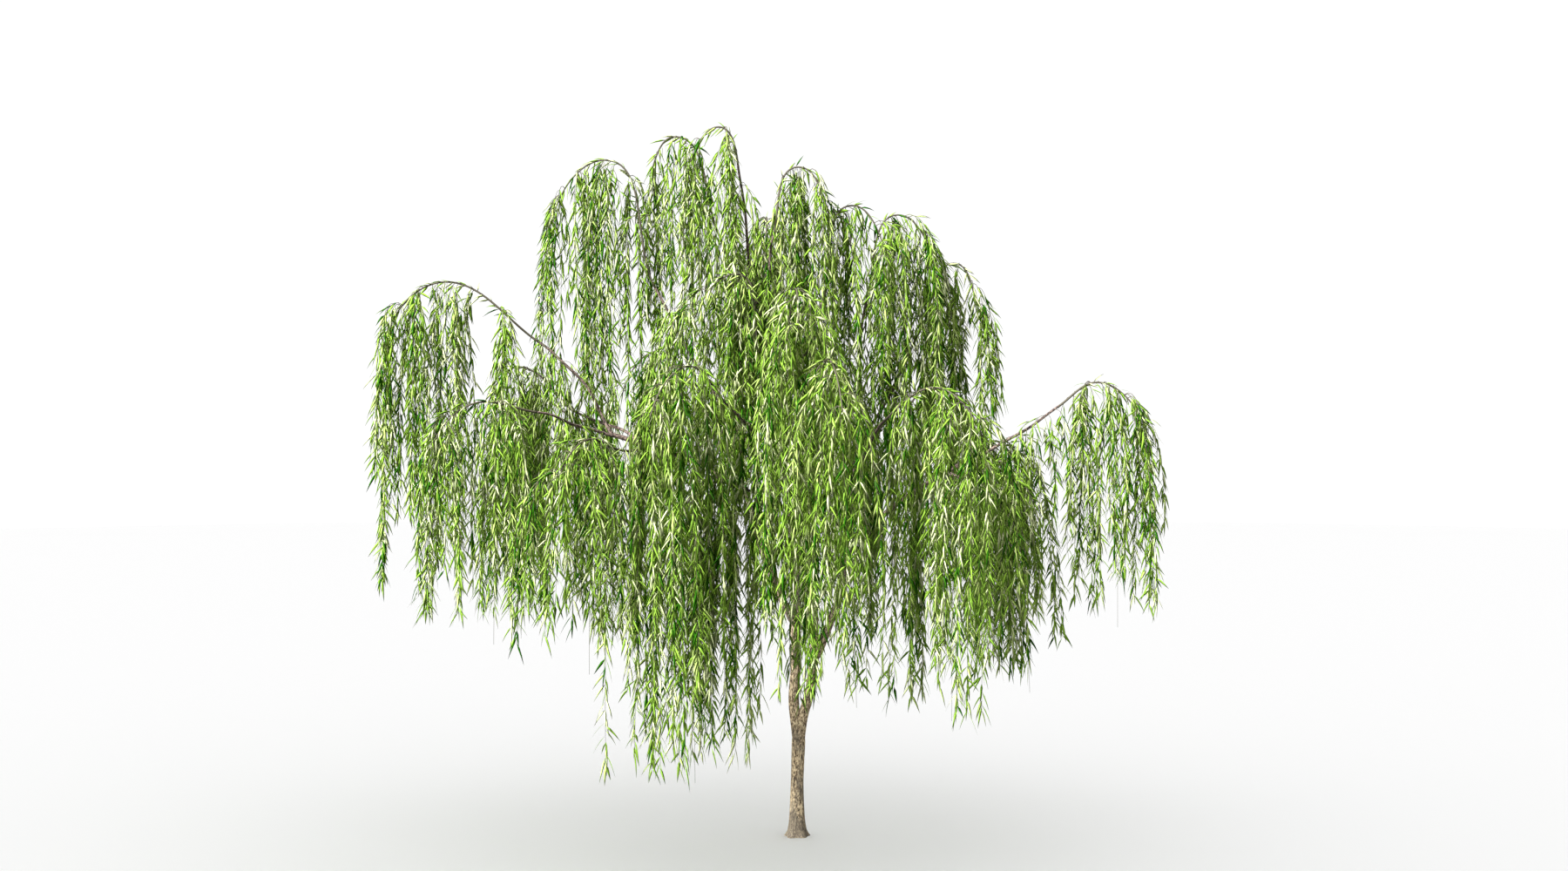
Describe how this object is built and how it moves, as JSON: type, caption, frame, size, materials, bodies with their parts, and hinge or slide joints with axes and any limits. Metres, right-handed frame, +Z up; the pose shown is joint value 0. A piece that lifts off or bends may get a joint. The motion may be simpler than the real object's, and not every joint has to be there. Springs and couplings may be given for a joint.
{
  "type": "weeping willow tree",
  "caption": "Young weeping willow rooted in the ground: a trunk that forks into two stems, spreading boughs, and foliage that arches over and hangs in curtains.",
  "frame": {"origin": "middle of the flat cut under the trunk, at ground level", "axes": "+Z up along the trunk; +X to the right of the tree's front view, along its widest spread; +Y away from the front"},
  "size_m": [6.7839, 4.6841, 6.0073],
  "materials": {
    "trunk_bark": "matte, lightly furrowed bark",
    "bough_bark": "matte young bark",
    "foliage": "narrow leaves on thin twigs"
  },
  "bodies": {
    "root": {"back_centre_bough": "bough_bark", "back_centre_foliage": "foliage", "back_left_bough": "bough_bark", "back_left_foliage": "foliage", "back_limb": "bough_bark", "back_right_bough": "bough_bark", "back_right_foliage": "foliage", "back_upper_bough": "bough_bark", "back_upper_foliage": "foliage", "far_left_bough": "bough_bark", "far_left_foliage": "foliage", "far_right_bough": "bough_bark", "far_right_foliage": "foliage", "front_centre_bough": "bough_bark", "front_centre_foliage": "foliage", "front_left_bough": "bough_bark", "front_left_foliage": "foliage", "front_limb": "bough_bark", "front_low_bough": "bough_bark", "front_low_foliage": "foliage", "front_right_bough": "bough_bark", "front_right_foliage": "foliage", "front_upper_bough": "bough_bark", "front_upper_foliage": "foliage", "inner_left_bough": "bough_bark", "inner_left_foliage": "foliage", "inner_right_bough": "bough_bark", "inner_right_foliage": "foliage", "leader": "bough_bark", "left_back_bough": "bough_bark", "left_back_foliage": "foliage", "left_inner_bough": "bough_bark", "left_inner_foliage": "foliage", "left_limb": "bough_bark", "left_low_bough": "bough_bark", "left_low_foliage": "foliage", "left_mid_bough": "bough_bark", "left_mid_foliage": "foliage", "left_stem": "trunk_bark", "outer_left_limb": "bough_bark", "outer_right_limb": "bough_bark", "right_back_bough": "bough_bark", "right_back_foliage": "foliage", "right_inner_bough": "bough_bark", "right_inner_foliage": "foliage", "right_limb": "bough_bark", "right_shoulder_bough": "bough_bark", "right_shoulder_foliage": "foliage", "right_stem": "trunk_bark", "top_bough": "bough_bark", "top_foliage": "foliage", "top_left_bough": "bough_bark", "top_left_foliage": "foliage", "top_right_bough": "bough_bark", "top_right_foliage": "foliage", "trunk": "trunk_bark", "upper_left_bough": "bough_bark", "upper_left_foliage": "foliage", "upper_right_bough": "bough_bark", "upper_right_foliage": "foliage"}
  },
  "joints": []
}
